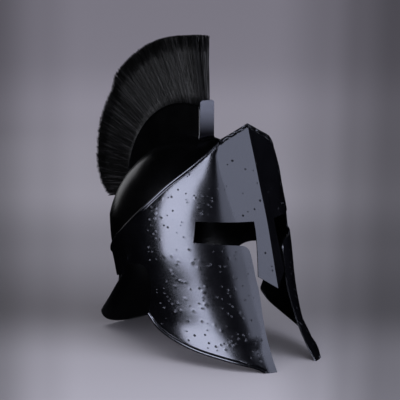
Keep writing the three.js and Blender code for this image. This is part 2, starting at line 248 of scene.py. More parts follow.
# Face plate
facePlate = {
    "spacing": 2.4, "edgeSpacing": 1.6, "wall": 1.6, "edge": 0.45, "backEdge": 76,
    "upperRim": [(-84, 262.5), (-76, 240), (-63, 221.5), (-36, 194), (-11, 168), (21, 142.5),
                 (56, 117.5), (82, 101), (120, 90)],
    "notch": [(30, 84), (25, 92), (14, 99), (0, 103), (-12, 103.5), (-21, 98), (-25, 88), (-25, 76),
              (-21.5, 60), (-16, 46)],
    "lowerRim": [(-16, 45), (-30, 34), (-48, 26.5), (-66, 21), (-89, 15.5), (-115, 11), (-137, 7),
                 (-152, 3.5), (-159, 0)],
    "nasal": [(0, 83), (20.5, 97.5)],
    "nasalSide": [(20.5, 97.5), (18.5, 114), (16.5, 132), (15.5, 146), (15.5, 157)],
    "slot": [(15.5, 157), (70.5, 159), (74, 135.5)],
    "cheek": [(74, 135.5), (55, 134), (37, 132.5), (30.5, 131), (26.5, 126.5), (25, 118), (24, 100),
              (22.5, 84), (23, 70), (24.5, 55), (26, 39), (28, 20), (30.5, 0)],
    # the turned rim: distance in from the edge, and how far it stands off the plate there
    "bead": [(0, 0.2), (0.35, 0.75), (0.9, 1.15), (1.6, 1.4), (2.3, 1.42), (3.0, 1.15), (3.6, 0.65),
             (4.1, 0.1), (4.6, -0.1), (5.3, 0.0)],
    "tip": (30.5, 0.0), "heel": (58.0, 76), "ridgeSpacing": 2.0, "ridgeStop": 6, "gridTop": 264,
    "dents": 560, "dentSizes": (0.42, 0.78), "dentDepth": 1.25, "dentClear": 6.5,
    "dentAcross": (-190, 190), "dentUp": (10, 225),
    # most dents lie in this band round the blank and below this height; a few lie elsewhere
    "denseAcross": (45, 150), "denseTop": 195, "fewElsewhere": 0.25,
    # a dent's rings: how far out in its own sizes, and how high in its own depth
    "dentRings": [(0.55, -0.8), (1.0, -0.1), (1.35, 0.16), (1.8, 0.0)], "dentSides": 8,
}


def sideLine(points):
    y, z = points[:, 0], points[:, 1]
    return toBlank(planWhere(1, y, z, 3), z)


def frontLine(points):
    x, z = points[:, 0], points[:, 1]
    return toBlank(planWhere(0, x, z, 2), z)


def rimRows(line):
    # rows of points that follow a rim on the blank, at the bead's distances from the edge
    along = np.gradient(fromBlank(line), axis=0)
    along /= np.linalg.norm(along, axis=1)[:, None]
    small, reached, row, rows = 0.05, 0.0, line, []
    for distance, lift in facePlate["bead"][1:]:
        # each row is a short step in from the one before it
        acrossU = (fromBlank(row + [small, 0]) - fromBlank(row - [small, 0])) / (2 * small)
        acrossZ = (fromBlank(row + [0, small]) - fromBlank(row - [0, small])) / (2 * small)
        inward = np.cross(along, np.cross(acrossU, acrossZ))
        inward *= (distance - reached) / np.linalg.norm(inward, axis=1)[:, None]
        row = row + np.array([
            np.linalg.lstsq(np.stack([u, z], 1), way, rcond=None)[0]
            for u, z, way in zip(acrossU, acrossZ, inward)
        ])
        reached = distance
        rows.append((row, lift))
    return rows


def insideOutline(points, outline):
    # which points lie inside a closed outline
    hits = np.zeros(len(points), bool)
    for (ax, ay), (bx, by) in zip(outline, np.roll(outline, -1, axis=0)):
        if ay == by:
            continue
        crossing = (ay > points[:, 1]) != (by > points[:, 1])
        where = ax + (points[:, 1] - ay) * (bx - ax) / (by - ay)
        hits ^= crossing & (points[:, 0] < where)
    return hits


def mirrored(points):
    return (points * [-1, 1])[::-1]


def makeFacePlate(material):
    s = facePlate
    step = s["edgeSpacing"]
    upper = evenly(smoothLine(s["upperRim"], 160), step)
    ridgeAt = platePlan(0, upper[:, 1])[1]
    backAt = platePlan(3, upper[:, 1])[1]
    upper = upper[(upper[:, 0] > ridgeAt + 0.3) & (upper[:, 0] < backAt - 0.3)]
    lower = evenly(smoothLine(s["lowerRim"], 120), step)
    notch = evenly(smoothLine(s["notch"], 120), step)
    tip = frontLine(np.array([s["tip"]]))
    tipRun = evenly(np.vstack([sideLine(lower[-1:]), tip]), step)
    cheek = evenly(smoothLine(s["cheek"], 160), step)
    opening = np.vstack([
        evenly(s["nasal"], step)[:-1],
        evenly(smoothLine(s["nasalSide"], 60), step)[:-1],
        evenly(s["slot"][:2], step)[:-1],
        evenly(s["slot"][1:], step)[:-1],
        cheek[:-1],
    ])
    upperLine, lowerLine = sideLine(upper), sideLine(lower)
    # the rim's ends run out onto the ridge and the seam at the back
    peak = np.array([[0.0, s["upperRim"][0][1]]])
    seamTop = np.array([[blankRuns[3], upperLine[-1, 1] - 0.1]])
    rimLine = np.vstack([peak, upperLine, seamTop])
    seam = evenly(np.vstack([seamTop, [[blankRuns[3], s["backEdge"]]]]), step)
    heelTop = sideLine(np.array([s["heel"]]))[0]
    backRun = evenly([(blankRuns[3], s["backEdge"]), tuple(heelTop)], step)
    heel = sideLine(evenly([s["heel"], s["notch"][0]], step))
    halfLoop = np.vstack([
        frontLine(opening), tipRun[::-1][:-1], lowerLine[::-1][:-1], sideLine(notch)[::-1][:-1],
        heel[::-1][:-1], backRun[::-1][:-1], seam[::-1][:-1], rimLine[::-1][:-1],
    ])
    halfLoop[0] = (0, s["nasal"][0][1])
    loop = np.vstack([halfLoop, peak, mirrored(halfLoop)[:-1]])
    rows = rimRows(rimLine) + rimRows(lowerLine)
    ridgeEnds = [(0, s["nasal"][0][1]), (0, peak[0, 1] - s["ridgeStop"])]
    ridge = evenly(ridgeEnds, s["ridgeSpacing"])[1:]

    # dents: a pit and its raised lip, more of them on the cheeks and round the eyes
    draw = random.Random(5)
    dents = []
    while len(dents) < s["dents"]:
        u, z = draw.uniform(*s["dentAcross"]), draw.uniform(*s["dentUp"])
        near, far = s["denseAcross"]
        dense = near < abs(u) < far and z < s["denseTop"]
        if draw.random() < (1.0 if dense else s["fewElsewhere"]):
            dents.append((u, z, draw.uniform(*s["dentSizes"]), draw.uniform(0.5, 1)))
    dents = [d for d in dents if insideOutline(np.array([d[:2]]), loop)[0]]

    fixed, lifts, edges = list(loop), [0.0] * len(loop), []
    edges += [(i, (i + 1) % len(loop)) for i in range(len(loop))]
    onRim = treeOf([(abs(p[0]), p[1]) for p in np.vstack([rimLine, lowerLine])])
    for i, p in enumerate(loop):
        if farFrom(onRim, abs(p[0]), p[1]) < 0.02:
            lifts[i] = s["bead"][0][1]
    outlineTree = treeOf(loop)
    # the bead's rows, but for points on the edge, the ridge or the seam at the back
    for line, lift in rows:
        for part in (line, mirrored(line)):
            for p, inside in zip(part, insideOutline(part, loop)):
                clear = farFrom(outlineTree, p[0], p[1]) > 0.25
                if inside and clear and 0.3 < abs(p[0]) < blankRuns[3] - 0.3:
                    fixed.append(p)
                    lifts.append(lift)
    # the ridge is a crease from the nasal's foot to the peak
    before = 0
    for p in ridge:
        edges.append((before, len(fixed)))
        before = len(fixed)
        fixed.append(p)
        lifts.append(0.0)
    edges.append((before, len(halfLoop)))
    rimTree = treeOf(fixed)
    kept = []
    for u, z, size, depth in dents:
        onPlate = farFrom(rimTree, u, z) > size * 2.2 and farFrom(outlineTree, u, z) > s["dentClear"]
        if onPlate and all(math.hypot(u - k[0], z - k[1]) > 2 * (size + k[2]) for k in kept):
            kept.append((u, z, size, depth))
    for u, z, size, depth in kept:
        fixed.append((u, z))
        lifts.append(-s["dentDepth"] * depth * size)
        for reach, share in s["dentRings"]:
            for k in range(s["dentSides"]):
                a = math.tau * (k + reach) / s["dentSides"]
                fixed.append((u + reach * size * math.cos(a), z + reach * size * math.sin(a)))
                lifts.append(s["dentDepth"] * depth * size * share)
    # an even net of triangles fills what is left of the blank
    tree = treeOf(fixed)
    gap = s["spacing"]
    grid = np.array([
        (u + (row % 2) * gap / 2, z)
        for row, z in enumerate(np.arange(1, s["gridTop"], gap * 0.866))
        for u in np.arange(-blankRuns[3], blankRuns[3], gap)
    ])
    for p in grid[insideOutline(grid, loop)]:
        if farFrom(tree, p[0], p[1]) > gap * 0.55 and abs(p[0]) > gap * 0.5:
            fixed.append(tuple(p))
            lifts.append(0.0)
    flat, _, faces, origins, _, _ = delaunay_2d_cdt(
        [Vector((float(p[0]), float(p[1]))) for p in fixed], edges, [], 1, 1e-4)
    # bend the flat blank to the plate's form, and lift or sink each point along its normal
    lift = np.array([lifts[o[0]] if o else 0.0 for o in origins])
    points = np.array([(p.x, p.y) for p in flat])
    small = 0.1
    bent = fromBlank(points)
    normal = np.cross(
        fromBlank(points + [small, 0]) - bent, fromBlank(points + [0, small]) - bent)
    size = np.linalg.norm(normal, axis=1)[:, None]
    normal = normal / np.where(size > 0, size, 1)
    bent = bent + normal * lift[:, None]
    bm = bmesh.new()
    verts = [bm.verts.new(p) for p in bent]
    for face in faces:
        bm.faces.new([verts[i] for i in face])
    bmesh.ops.remove_doubles(bm, verts=bm.verts, dist=0.02)
    bmesh.ops.recalc_face_normals(bm, faces=bm.faces)
    foremost = min(bm.faces, key=lambda f: f.calc_center_median().y)
    if foremost.normal.y > 0:
        bmesh.ops.reverse_faces(bm, faces=bm.faces)
    toFrame(bm)
    piece = finish("helmet_face_plate", bm, material, ["face_plate"], 25)
    thicken(piece, s["wall"], s["edge"], even=False)
    stand(piece)
    print("face plate:", len(points), "points,", len(kept), "dents")


# Skull
bowl = {
    "foot": 90, "rim": 128, "top": 242, "half": 95, "rear": 113, "front": 80, "middle": -2,
    "fullness": 1.86, "columns": 180, "rows": 96, "wall": 1.6, "edge": 0.4,
    "upright": 0.16,  # the share of its rows that stand below the rim
    "clearBelow": 205,  # below this height it stays inside the face plate
    "browReach": 4,
    "brow": [(-200, 60), (34, 60), (30, 92), (16, 110), (-16, 150), (-46, 176), (-200, 186)],
}


def domeAt(turn, z):
    # the bowl's outside at a height; turn is 0 to 1 from the front round the left side and back
    s = bowl
    rise = np.clip((z - s["rim"]) / (s["top"] - s["rim"]), 0, 1)
    fill = np.clip(1 - rise ** s["fullness"], 0, 1) ** (1 / s["fullness"])
    half, rear, front = s["half"] * fill, s["rear"] * fill, s["front"] * fill
    side = np.where(turn > 0.5, -1, 1)
    q = np.where(turn > 0.5, 1 - turn, turn) * 4
    u, v = np.clip(q, 0, 1), np.clip(q - 1, 0, 1)
    frontX, backX = cubic(0, half * 0.6, half, half, u), cubic(half, half, half * 0.62, 0, v)
    frontY, backY = cubic(-front, -front, -front * 0.6, 0, u), cubic(0, rear * 0.62, rear, rear, v)
    x, y = np.where(q <= 1, frontX, backX), np.where(q <= 1, frontY, backY)
    return side * x, y + s["middle"]


def keepInside(x, y, z, clearance):
    # draws points in until they clear the face plate's inside
    t = np.linspace(0, 3, 240)
    for i in range(len(x)):
        px, py = platePlan(t, np.full(len(t), z[i]))
        angle = math.atan2(abs(x[i]), y[i])
        limit = np.interp(angle, np.arctan2(px, py)[::-1], np.hypot(px, py)[::-1]) - clearance
        reach = math.hypot(x[i], y[i])
        if reach > limit:
            x[i] *= limit / reach
            y[i] *= limit / reach
    return x, y


def makeSkull(material):
    s = bowl

    def place(u, v):
        # the lowest rows are upright, and the rest close to the crown
        share = s["upright"]
        up = np.clip((v - share) / (1 - share), 0, 1)
        z = np.where(v < share, s["foot"] + (s["rim"] - s["foot"]) * v / share,
                     s["rim"] + (s["top"] - s["rim"]) * np.sin(up * math.pi / 2))
        x, y = domeAt(u, z)
        x, y = np.where(v >= 1, 0, x), np.where(v >= 1, s["middle"], y)
        low = z < s["clearBelow"]
        x[low], y[low] = keepInside(x[low], y[low], z[low], steel["wall"] + steel["gap"])
        return x, y, z

    bm = wrapGrid(s["columns"], s["rows"], place)
    cut = s["brow"]  # what lies inside this outline is cut away, so the face stays open
    for (ay, az), (by, bz) in zip(cut[1:-1], cut[2:]):
        middle = Vector((0, (ay + by) / 2, (az + bz) / 2))
        reach = math.hypot(by - ay, bz - az) / 2 + s["browReach"]
        near = [f for f in bm.faces
                if (Vector((0, *f.calc_center_median()[1:])) - middle).length < reach]
        verts, edges = {v for f in near for v in f.verts}, {e for f in near for e in f.edges}
        bmesh.ops.bisect_plane(bm, geom=list(verts) + list(edges) + near, dist=0.01,
                               plane_co=(0, ay, az), plane_no=(0, -(bz - az), by - ay))
    centres = np.array([tuple(f.calc_center_median())[1:] for f in bm.faces])
    gone = insideOutline(centres, np.array(cut, float))
    bmesh.ops.delete(bm, geom=[f for f, g in zip(bm.faces, gone) if g], context="FACES")
    toFrame(bm)
    piece = finish("helmet_skull", bm, material, ["skull"], 40)
    thicken(piece, s["wall"], s["edge"])
    print("skull:", len(piece.data.vertices), "points")


# Neck guard
guard = {
    "top": 88, "floorY": 114, "cornerX": 57, "cornerY": 112, "cornerZ": 21, "sideY": 43.5,
    "tuck": 0.6, "backEdge": 76, "columns": 120, "rows": 64, "wall": 1.6, "edge": 0.4,
    "cornerRound": 2.2, "sweep": (1.9, 0.95),  # how it bends out at its middle and at its sides
    "lip": 0.9, "lipWidth": 3.6, "lipStart": 0.25, "lipEase": 0.9,
}


def guardAt(across, down):
    # across from -1 to 1, and down from 0 at its top to 1 on the floor
    s = guard
    t = np.linspace(2.0, 3, 120)
    px, py = platePlan(t, np.full(len(t), float(s["backEdge"])))
    room = steel["wall"] + steel["gap"] + s["tuck"]
    nx, ny = np.gradient(py), -np.gradient(px)
    size = np.hypot(nx, ny)
    px, py = px - nx / size * room, py - ny / size * room
    keep = py > s["sideY"]
    px, py = np.append(px[keep], 0), np.append(py[keep], py[-1])
    run = np.concatenate([[0], np.cumsum(np.hypot(np.diff(px), np.diff(py)))])
    at = (1 - np.abs(across)) * run[-1]
    topX, topY = np.sign(across) * np.interp(at, run, px), np.interp(at, run, py)
    edge = np.abs(across) ** s["cornerRound"]
    footX = s["cornerX"] * np.sin(across * math.pi / 2)
    footY = s["floorY"] + (s["cornerY"] - s["floorY"]) * edge
    footZ = s["cornerZ"] * edge
    z = s["top"] + (footZ - s["top"]) * down
    bent = np.clip((s["backEdge"] - z) / (s["backEdge"] - footZ), 0, 1)
    centre, ends = s["sweep"]
    sweep = bent ** (centre + (ends - centre) * edge)
    return topX + (footX - topX) * bent, topY + (footY - topY) * sweep, z


def makeNeckGuard(material):
    s = guard
    bm = wrapGrid(s["columns"], s["rows"], lambda u, v: guardAt(u * 2 - 1, 1 - v), closed=False)
    bmesh.ops.recalc_face_normals(bm, faces=bm.faces)
    halfway = Vector((0, 0, 40))
    middle = min(bm.faces, key=lambda f: sum(
        abs((f.calc_center_median() - halfway)[k]) for k in (0, 2)))
    if middle.normal.y < 0:
        bmesh.ops.reverse_faces(bm, faces=bm.faces)
    # a small turned lip along the two sides and the foot
    a = np.concatenate([np.full(100, -1.0), np.linspace(-1, 1, 200), np.full(100, 1.0)])
    d = np.concatenate([np.linspace(0, 1, 100), np.full(200, 1.0), np.linspace(1, 0, 100)])
    rim = treeOf(np.stack(guardAt(a, d), 1))
    bm.normal_update()
    for v in bm.verts:
        away = rim.find(v.co)[2]
        if away < s["lipWidth"] and v.co.z > 0.5:
            turned = math.sin(math.pi * min(1, away / s["lipWidth"] + s["lipStart"]))
            v.co += v.normal * s["lip"] * turned * s["lipEase"]
    for v in bm.verts:
        v.co.z = max(v.co.z, 0.02)
    toFrame(bm)
    piece = finish("helmet_neck_guard", bm, material, ["neck_guard"], 40)
    thicken(piece, s["wall"], s["edge"], even=False)
    stand(piece)
    print("neck guard:", len(piece.data.vertices), "points")


# Crest holder and its front plate
crest = {
    "y": 8, "z": 169, "radius": 110, "half": 10, "front": -15.5, "end": 102, "wall": 1.6,
    "lip": 1.0, "columns": 130, "foot": 1.3, "sheet": 0.7, "tailY": 100,
}


def onDome(turnAngle, x, clearance):
    # how far from the crest's centre the bowl's outside is, at an angle back from straight up
    low, high = np.full(len(turnAngle), 20.0), np.full(len(turnAngle), 140.0)
    for _ in range(30):
        r = (low + high) / 2
        y = crest["y"] + r * np.sin(turnAngle)
        z = crest["z"] + r * np.cos(turnAngle)
        rise = np.clip((z - bowl["rim"]) / (bowl["top"] - bowl["rim"]), 0, 1)
        fill = np.clip(1 - rise ** bowl["fullness"], 0, 1) ** (1 / bowl["fullness"])
        back = np.where(y > bowl["middle"], bowl["rear"], bowl["front"]) * fill + clearance
        side = bowl["half"] * fill + clearance
        acrossShare = x / np.maximum(side, 1e-6)
        backShare = (y - bowl["middle"]) / np.maximum(back, 1e-6)
        outside = acrossShare ** 2 + backShare ** 2 > 1
        outside |= z > bowl["top"] + clearance
        low, high = np.where(outside, low, r), np.where(outside, r, high)
    return high


def makeCrestHolder(material):
    s = crest
    half, foot, lip, wall = s["half"], s["foot"], s["lip"], s["wall"]
    end = math.radians(s["end"])

    def first(radius):
        # the angle where the trough's square front cuts a circle of this radius
        return np.arcsin((s["front"] - s["y"]) / radius)

    bm = bmesh.new()
    # across, and how far up from the bowl (0) to the lip (1), round the outside and into the channel
    section = [
        (half + foot, 0.0), (half + foot * 0.45, 0.035), (half + foot * 0.12, 0.08),
        (half, 0.14), (half, 0.5), (half, 0.9), (half, 0.945),
        (half + lip * 0.7, 0.955), (half + lip, 0.97), (half + lip, 0.988),
        (half + lip * 0.6, 1.0), (half - wall * 0.6, 1.0), (half - wall, 0.99),
        (half - wall, 0.9), (half - wall, 0.72), (0.0, 0.72),
    ]
    section += [(-x, h) for x, h in section[-2::-1]]
    bmesh.ops.create_grid(bm, x_segments=s["columns"], y_segments=len(section) - 1, size=0.5)
    flat = np.array([v.co[:2] for v in bm.verts]) + 0.5
    k = np.rint(flat[:, 1] * (len(section) - 1)).astype(int)
    across = np.array([section[i][0] for i in k])
    height = np.array([section[i][1] for i in k])
    # each point starts on the square front and ends at the crest's end
    angle = first(80.0) + (end - first(80.0)) * flat[:, 0]
    for _ in range(6):
        base = onDome(angle, across, 0.3)
        radius = base + (s["radius"] - base) * height
        angle = first(radius) + (end - first(radius)) * flat[:, 0]
    for v, a, x, r in zip(bm.verts, angle, across, radius):
        v.co = (x, s["y"] + r * math.sin(a), s["z"] + r * math.cos(a))
    bmesh.ops.recalc_face_normals(bm, faces=bm.faces)
    outer = max(bm.faces, key=lambda f: f.calc_center_median().x)
    if outer.normal.x < 0:
        bmesh.ops.reverse_faces(bm, faces=bm.faces)
    # the end wall closes the channel and the space below it
    tail = [e for e in bm.edges if e.is_boundary and all(
        v.co.y > s["tailY"] and abs(math.atan2(v.co.y - s["y"], v.co.z - s["z"]) - end) < 0.01
        for v in e.verts)]
    ends = [v for v in bm.verts if len([e for e in v.link_edges if e in tail]) == 1]
    if len(ends) == 2:
        bm.edges.new(ends)
    around = [e for e in bm.edges if e in tail or set(e.verts) == set(ends)]
    bmesh.ops.holes_fill(bm, edges=around, sides=0)
    toFrame(bm)
    piece = finish("helmet_crest_holder", bm, material, ["crest_holder"], 35)
    solidify = piece.modifiers.new("wall", "SOLIDIFY")
    solidify.thickness = s["sheet"] * mm
    solidify.offset = -1
    print("crest holder:", len(piece.data.vertices), "points")


crestPlate = {
    "width": 21, "thick": 2, "top": 283.5, "corner": 3.2, "foot": 5.2, "bend": 3.4, "bendTurn": 0.8,
    "bowlTop": ([0, 10.5], [240.6, 239.2]),  # the bowl's height under it, by how far across
    "columns": 24, "rows": 60, "edge": 0.45, "thinner": 0.3,
}


def makeCrestFrontPlate(material):
    s = crestPlate
    near = steel["crestFront"] - steel["gap"] - s["thick"]  # the upright's front face

    def place(u, v):
        x = (u - 0.5) * s["width"]
        # down the upright, round the bend and out along the bowl
        footZ = np.interp(np.abs(x), *s["bowlTop"])
        upright = s["top"] - footZ - s["bend"]
        arc = s["bend"] * math.pi / 2 * s["bendTurn"]
        run = (1 - v) * (upright + arc + s["foot"] - s["bend"])
        turn = np.clip((run - upright) / s["bend"], 0, math.pi / 2 * s["bendTurn"])
        out = np.clip(run - upright - arc, 0, None)
        y = near - s["bend"] * (1 - np.cos(turn)) - out * np.sin(turn)
        z = s["top"] - np.clip(run, 0, upright) - s["bend"] * np.sin(turn) - out * np.cos(turn)
        # round the two top corners
        fromTop = s["top"] - z
        arch = np.sqrt(np.clip(s["corner"] ** 2 - (s["corner"] - fromTop) ** 2, 0, None))
        inset = np.where(fromTop < s["corner"], s["corner"] - arch, 0)
        return x * (1 - inset / (s["width"] / 2)), y, z

    bm = wrapGrid(s["columns"], s["rows"], place, closed=False)
    bmesh.ops.recalc_face_normals(bm, faces=bm.faces)
    top = max(bm.faces, key=lambda f: f.calc_center_median().z)
    if top.normal.y > 0:
        bmesh.ops.reverse_faces(bm, faces=bm.faces)
    toFrame(bm)
    piece = finish(
        "helmet_crest_front_plate", bm, material, ["crest_front_plate"], 40)
    thicken(piece, s["thick"] - s["thinner"], s["edge"])
    print("crest front plate:", len(piece.data.vertices), "points")


# Plume
plume = {
    "root": 98, "firstArc": -13.4, "lastArc": 94, "firstLean": 6.5, "lastLean": 101,
    "baseHalf": 7.2, "tipHalf": 14.5, "widening": 1.6,
    # the fan's edge: how far it reaches from the crest's centre at an angle back from straight up
    "angle": [-14, 8, 28, 42, 50, 65, 76, 88, 97],
    "reach": [189, 189, 189, 189.5, 182, 180, 176, 165, 147],
}
plumeCore = {
    "columns": 160, "rows": 40, "halfRun": 0.488, "halfWidth": 0.86, "first": 0.02, "length": 0.92,
    "closeFrom": 0.9,
}
hair = {
    "hairs": 22500, "clumps": 170, "pieces": 3, "rings": 5, "thick": 0.3, "tipThick": 0.12,
    "taperFrom": 0.7, "root": 0.03, "thickSpread": (0.75, 1.25),
    "edgePull": 0.55, "width": 0.97,  # more hair near the two outsides
    "ragged": (0.014, 0.04), "shorter": 0.006, "clumpRagged": 0.02,
    "drift": 0.014, "sway": 0.08, "curl": 0.006, "streak": 0.3,
}


def plumeAt(along, out, across):
    # along the crest (0 to 1), out along the hair (0 to 1) and across it (-1 to 1)
    s = plume
    arc = np.radians(s["firstArc"] + (s["lastArc"] - s["firstArc"]) * along)
    lean = np.radians(s["firstLean"] + (s["lastLean"] - s["firstLean"]) * along)
    rootY, rootZ = crest["y"] + s["root"] * np.sin(arc), crest["z"] + s["root"] * np.cos(arc)
    short, long = np.zeros(len(along)), np.full(len(along), 150.0)
    for _ in range(24):
        middle = (short + long) / 2
        y = rootY + middle * np.sin(lean) - crest["y"]
        z = rootZ + middle * np.cos(lean) - crest["z"]
        edge = smoothTable(s["angle"], s["reach"], np.degrees(np.arctan2(y, z)))
        inside = np.hypot(y, z) < edge
        short, long = np.where(inside, middle, short), np.where(inside, long, middle)
    half = s["baseHalf"] + (s["tipHalf"] - s["baseHalf"]) * np.clip(out, 0, 1) ** s["widening"]
    y, z = rootY + short * out * np.sin(lean), rootZ + short * out * np.cos(lean)
    return np.stack([across * half, y, z], 1)


def makePlumeCore(material):
    # the dense inside of the brush, a little smaller than the hair round it
    s = plumeCore

    def place(u, v):
        turn = u * math.tau
        cosine, sine = np.cos(turn), np.sin(turn)
        squareness = np.maximum(np.abs(cosine), np.abs(sine))
        along = 0.5 + s["halfRun"] * cosine / squareness
        across = s["halfWidth"] * sine / squareness
        close = np.clip((v - s["closeFrom"]) / 0.1, 0, 1)
        out = s["first"] + s["length"] * np.clip(v / s["closeFrom"], 0, 1)
        return plumeAt(0.5 + (along - 0.5) * (1 - close), out, across * (1 - close)).T

    bm = wrapGrid(s["columns"], s["rows"], place)
    toFrame(bm)
    piece = finish("helmet_plume_core", bm, material, ["plume"], 60)
    print("plume core:", len(piece.data.vertices), "points")


def makeHair(material):
    s = hair
    rng = np.random.default_rng(4)
    count = s["hairs"]
    along = rng.uniform(0.0, 1.0, count)
    edgeBias = rng.uniform(-1, 1, count)
    across = np.sign(edgeBias) * np.abs(edgeBias) ** s["edgePull"]
    across *= s["width"]
    ragged = s["ragged"][0] + s["ragged"][1] * np.clip(along - 0.5, 0, 1)
    length = 1 - np.abs(rng.normal(0, ragged, count)) - s["shorter"]
    drift = rng.normal(0, s["drift"], count)
    sway = rng.normal(0, s["sway"], count)
    curl = rng.normal(0, s["curl"], count)
    clump = rng.uniform(0, 1, (2, s["clumps"] + 1))
    clumpOf = np.clip((along * s["clumps"]).astype(int), 0, s["clumps"])
    tone = 0.5 * clump[(across > 0).astype(int), clumpOf] + 0.5 * rng.uniform(0, 1, count)
    streak = rng.uniform(-s["streak"], s["streak"], (count, s["rings"]))
    clumpShort = np.abs(rng.normal(0, s["clumpRagged"], s["clumps"] + 1))[clumpOf]
    length *= 1 - clumpShort * np.clip(along * 1.6, 0.25, 1)  # the back is the more uneven
    spin = rng.uniform(0, math.tau, count)
    thick = s["thick"] * rng.uniform(*s["thickSpread"], count)
    order = np.argsort(across)
    rings = s["rings"]
    share = np.linspace(0, 1, rings)
    centres = []
    for f in share:
        a = np.clip(along + drift * f**1.5 + curl * math.sin(f * math.pi), -0.004, 1.004)
        x = np.clip(across + sway * f, -1, 1)
        centres.append(plumeAt(a, s["root"] + (length - s["root"]) * f, x))
    centres = np.array(centres)  # rings, hairs, xyz
    ahead = np.gradient(centres, axis=0)
    ahead /= np.linalg.norm(ahead, axis=2)[..., None]
    sideAxis = np.array([1.0, 0, 0]) - ahead * ahead[..., :1]
    sideAxis /= np.linalg.norm(sideAxis, axis=2)[..., None]
    otherAxis = np.cross(ahead, sideAxis)
    taper = (share - s["taperFrom"]) / 0.3 * (1 - s["tipThick"] / s["thick"])
    width = np.where(share < s["taperFrom"], 1.0, 1 - taper)
    for part in range(s["pieces"]):
        mine = order[part * count // s["pieces"]:(part + 1) * count // s["pieces"]]
        n = len(mine)
        corners = []
        for k in range(3):
            a = spin[mine] + k * math.tau / 3
            r = thick[mine] * width[:, None]
            corners.append(centres[:, mine] + sideAxis[:, mine] * (np.cos(a) * r)[..., None]
                           + otherAxis[:, mine] * (np.sin(a) * r)[..., None])
        points = np.stack(corners, 2)  # rings, hairs, corner, xyz
        points = points.transpose(1, 0, 2, 3).reshape(-1, 3)
        points = (points - [0, shiftY, 0]) * mm
        base = np.arange(n)[:, None, None] * rings * 3
        ring = np.arange(rings - 1)[None, :, None] * 3
        k = np.arange(3)[None, None, :]
        a, b = base + ring + k, base + ring + (k + 1) % 3
        quads = np.stack([a, b, b + 3, a + 3], -1).reshape(-1, 4)
        tips = np.arange(n)[:, None] * rings * 3 + (rings - 1) * 3 + np.arange(3)[None, :]
        roots = np.arange(n)[:, None] * rings * 3 + np.array([2, 1, 0])[None, :]
        mesh = bpy.data.meshes.new("hair")
        mesh.from_pydata(points.tolist(), [], quads.tolist() + tips.tolist() + roots.tolist())
        mesh.shade_smooth()
        shade = mesh.attributes.new("tone", "FLOAT", "POINT")
        tones = np.repeat(tone[mine, None] + streak[mine], 3).astype(np.float32)
        shade.data.foreach_set("value", tones)
        piece = bpy.data.objects.new("helmet_plume_hair_" + "abc"[part], mesh)
        bpy.context.scene.collection.objects.link(piece)
        mesh.materials.append(material)
        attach(piece, "root")
    print("hair:", count, "hairs")


# Materials
def newMaterial(name):
    material = bpy.data.materials.new(name)
    material.use_nodes = True
    nodes, links = material.node_tree.nodes, material.node_tree.links
    return material, nodes, links, nodes["Principled BSDF"]


def addNode(nodes, kind, **inputs):
    node = nodes.new(kind)
    for key, value in inputs.items():
        node.inputs[key.replace("_", " ")].default_value = value
    return node


def makeWearGroup():
    # small scuffs and a soft unevenness that every steel piece shares
    group = bpy.data.node_groups.new("paintedSteelWear", "ShaderNodeTree")
    face = group.interface
    face.new_socket("Scale", in_out="INPUT", socket_type="NodeSocketFloat").default_value = 1
    face.new_socket("Smear", in_out="OUTPUT", socket_type="NodeSocketFloat")
    face.new_socket("Specks", in_out="OUTPUT", socket_type="NodeSocketFloat")
    face.new_socket("Ripple", in_out="OUTPUT", socket_type="NodeSocketFloat")
    nodes, links = group.nodes, group.links
    enter, leave = nodes.new("NodeGroupInput"), nodes.new("NodeGroupOutput")
    place = nodes.new("ShaderNodeTexCoord")
    size = nodes.new("ShaderNodeVectorMath")
    size.operation = "SCALE"
    links.new(place.outputs["Object"], size.inputs[0])
    links.new(enter.outputs["Scale"], size.inputs["Scale"])
    smear = addNode(nodes, "ShaderNodeTexNoise", Scale=26.0, Detail=5.0, Roughness=0.6)
    specks = addNode(nodes, "ShaderNodeTexNoise", Scale=900.0, Detail=2.0, Roughness=0.7)
    ripple = addNode(nodes, "ShaderNodeTexNoise", Scale=60.0, Detail=1.0, Roughness=0.4)
    for texture, name in ((smear, "Smear"), (specks, "Specks"), (ripple, "Ripple")):
        links.new(size.outputs[0], texture.inputs["Vector"])
        links.new(texture.outputs["Fac"], leave.inputs[name])
    return group


